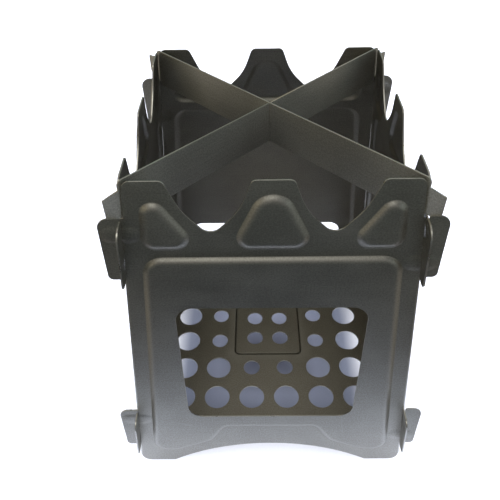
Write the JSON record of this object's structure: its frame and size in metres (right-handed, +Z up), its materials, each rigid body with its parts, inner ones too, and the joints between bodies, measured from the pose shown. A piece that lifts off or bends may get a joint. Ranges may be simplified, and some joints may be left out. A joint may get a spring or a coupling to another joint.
{
  "type": "flat-pack camping wood stove",
  "caption": "Leaning sheet-metal walls hooked into a square fire tower, with a drilled floor, a lift-out hatch and pot bars crossed over the corners.",
  "frame": {"origin": "middle of the footprint, on the ground the feet stand on", "axes": "+Z up; the wall with the fuel window faces -Y; +X to the right seen from the window side"},
  "size_m": [0.1532, 0.1532, 0.1793],
  "materials": {
    "wall_sheet": "satin dark grey titanium sheet, edges bright",
    "floor_sheet": "satin titanium sheet, slightly heat toned",
    "bar_sheet": "satin titanium sheet, edges bright"
  },
  "bodies": {
    "tower": {"front_wall": "wall_sheet", "right_wall": "wall_sheet", "back_wall": "wall_sheet", "left_wall": "wall_sheet"},
    "floor": {"floor_plate": "floor_sheet"},
    "hatch": {"floor_hatch": "floor_sheet"},
    "lower_bar": {"lower_pot_bar": "bar_sheet"},
    "upper_bar": {"upper_pot_bar": "bar_sheet"}
  },
  "joints": [
    {"name": "floor_lift", "type": "slide", "parent": "tower", "child": "floor", "axis": [0, 0, 1], "range_m": [0, 0.003]},
    {"name": "hatch_lift", "type": "slide", "parent": "floor", "child": "hatch", "axis": [0, 0, 1], "range_m": [0, 0.1]},
    {"name": "lower_bar_lift", "type": "slide", "parent": "tower", "child": "lower_bar", "axis": [0, 0, 1], "range_m": [0, 0.06]},
    {"name": "upper_bar_lift", "type": "slide", "parent": "lower_bar", "child": "upper_bar", "axis": [0, 0, 1], "range_m": [0, 0.06]}
  ]
}
